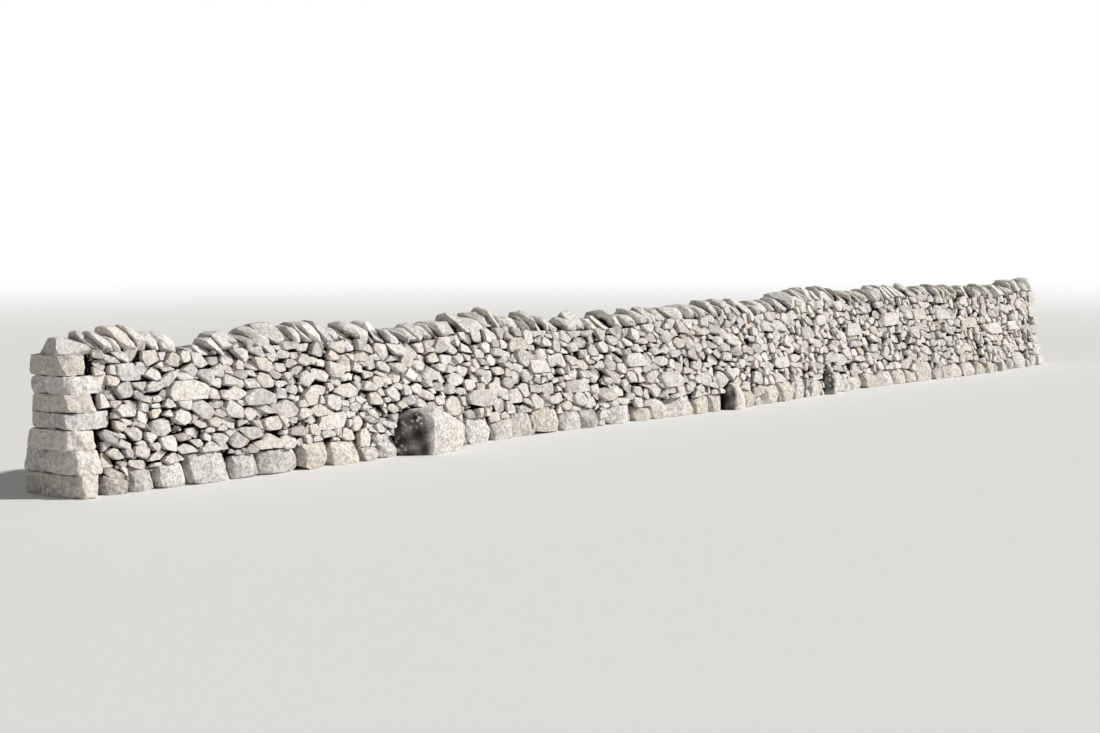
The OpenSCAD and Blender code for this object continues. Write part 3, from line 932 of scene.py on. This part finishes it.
def pinnings(name, places, rng, seed):
    """The chips that pin the joints of one bay of a face."""
    mesh = bpy.data.meshes.new(name)
    mesh.from_pydata([tuple(p) for p in places], [], [])
    # the chips are painted with shade, as lying in the joints
    tone_stones(mesh, [stone_tone(rng) for _ in places], [CHIP_SHADE_DEPTH] * len(places))
    piece = bpy.data.objects.new(name, mesh)
    bpy.context.scene.collection.objects.link(piece)
    run_tree(piece, PINNING, Smallest=0.014, Largest=0.032, Crease=0.3, Seed=seed, Material=FACE_STONE)
    seat(piece, "face_stone")


def make_faces():
    for name, sign, seed in (("front", -1, 11), ("back", 1, 23)):
        stones, chips = lay_face(Face(name, sign), seed)
        for bay in BAYS:
            piece = stones[bay].build(f"laid_{name}_{bay}")
            roughen(piece, (0.05, 0.005), (0.014, 0.003), float(bay), FACE_STONE)
            seat(piece, "face_stone", f"face_{name}_{bay}")
            pinnings(f"pinnings_{name}_{bay}", chips[bay], np.random.default_rng(seed * 10 + bay), bay)


def make_worn(kind, node, seed, relief_seed):
    """A joined piece of every stone in a node, worn and toned one by one, that stands for the node."""
    rng = np.random.default_rng(seed)
    stones = Masonry()
    for solid in solids(node):
        points, tris = worn_solid(rng, solid, kind)
        stones.lay(points, tris, stone_tone(rng), kind.sunk(points, solid[0]))
    piece = stones.build(f"worn_{node}")
    roughen(piece, kind.lumps, kind.pits, relief_seed, kind.stone)
    seat(piece, kind.slot, node)


def make_stones_of_frame():
    for bay in BAYS:
        for name, seed in (("front", 305), ("back", 304)):
            make_worn(FOOTING, f"footing_{name}_{bay}", seed + bay * 2, 20.0 + bay)
        make_worn(COPE, f"cope_{bay}", 500 + bay, 40.0 + bay)
    make_worn(LARGE, "large_front", 605, 50.0)
    make_worn(LARGE, "large_back", 604, 50.0)
    make_worn(HEAD, "head_start", 705, 60.0)
    make_worn(HEAD, "head_end", 703, 60.0)
    for n in (1, 2, 3):
        make_worn(BOULDER, f"boulder_{n}", 800 + n, 70.0 + n)


# The hearting takes the near-black painted shade that shows through the joints.
def dress_hearting():
    for bay in BAYS:
        core = NODES[f"hearting_{bay}"]
        core.data.materials.clear()
        core.data.materials.append(CORE_PAINTED_SHADE)


make_faces()
make_stones_of_frame()
dress_hearting()


# Floor, light and camera

def pale_floor():
    mesh = bpy.data.meshes.new("floor")
    far = 150
    mesh.from_pydata([(-far, -far, 0), (far, -far, 0), (far, far, 0), (-far, far, 0)], [], [(0, 1, 2, 3)])
    floor = bpy.data.objects.new("floor", mesh)
    bpy.context.scene.collection.objects.link(floor)
    material = bpy.data.materials.new("pale_floor")
    material.use_nodes = True
    w = Wiring(material.node_tree)
    shader = material.node_tree.nodes["Principled BSDF"]
    shader.inputs["Base Color"].default_value = (0.81, 0.81, 0.80, 1)
    shader.inputs["Roughness"].default_value = 0.95
    shader.inputs["Specular IOR Level"].default_value = 0.1
    length = w.node("ShaderNodeVectorMath", operation="LENGTH")
    w.feed(length.inputs[0], w.node("ShaderNodeTexCoord").outputs["Object"])
    away = w.ramp(length.outputs["Value"], 14.0, 60.0)
    glow = w.node("ShaderNodeEmission")
    glow.inputs["Strength"].default_value = 1.0
    mix = w.node("ShaderNodeMixShader")
    w.feed(mix.inputs[0], w.math("MULTIPLY", away, w.node("ShaderNodeLightPath").outputs["Is Camera Ray"]))
    w.feed(mix.inputs[1], shader.outputs[0])
    w.feed(mix.inputs[2], glow.outputs[0])
    w.feed(material.node_tree.nodes["Material Output"].inputs["Surface"], mix.outputs[0])
    mesh.materials.append(material)


def studio_light():
    world = bpy.data.worlds.new("studio")
    bpy.context.scene.world = world
    world.use_nodes = True
    w = Wiring(world.node_tree)
    sky = world.node_tree.nodes["Background"]
    sky.inputs["Color"].default_value = (1, 1, 1, 1)
    seen = w.node("ShaderNodeLightPath").outputs["Is Camera Ray"]
    w.feed(sky.inputs["Strength"], w.ramp(seen, 0.0, 1.0, 0.23, 1.0))
    lamp = bpy.data.lights.new("key", "SUN")
    lamp.energy = 3.95
    lamp.angle = math.radians(2)
    lamp.color = (1.0, 0.985, 0.955)
    key = bpy.data.objects.new("key", lamp)
    bpy.context.scene.collection.objects.link(key)
    key.rotation_euler = Vector((-0.60, 0.66, -0.55)).to_track_quat("-Z", "Y").to_euler()


def camera():
    """The place that the photograph was taken from, with a longer lens."""
    lens = bpy.data.cameras.new("camera")
    lens.sensor_width = 36
    lens.lens = 58
    lens.clip_end = 400
    cam = bpy.data.objects.new("camera", lens)
    bpy.context.scene.collection.objects.link(cam)
    cam.location = (-18.30, -12.23, 2.16)
    aim = Vector((-3.4, -0.3, 0.72)) - cam.location
    cam.rotation_euler = aim.to_track_quat("-Z", "Y").to_euler()
    bpy.context.scene.camera = cam


pale_floor()
studio_light()
camera()
bpy.context.scene.view_settings.view_transform = "Standard"
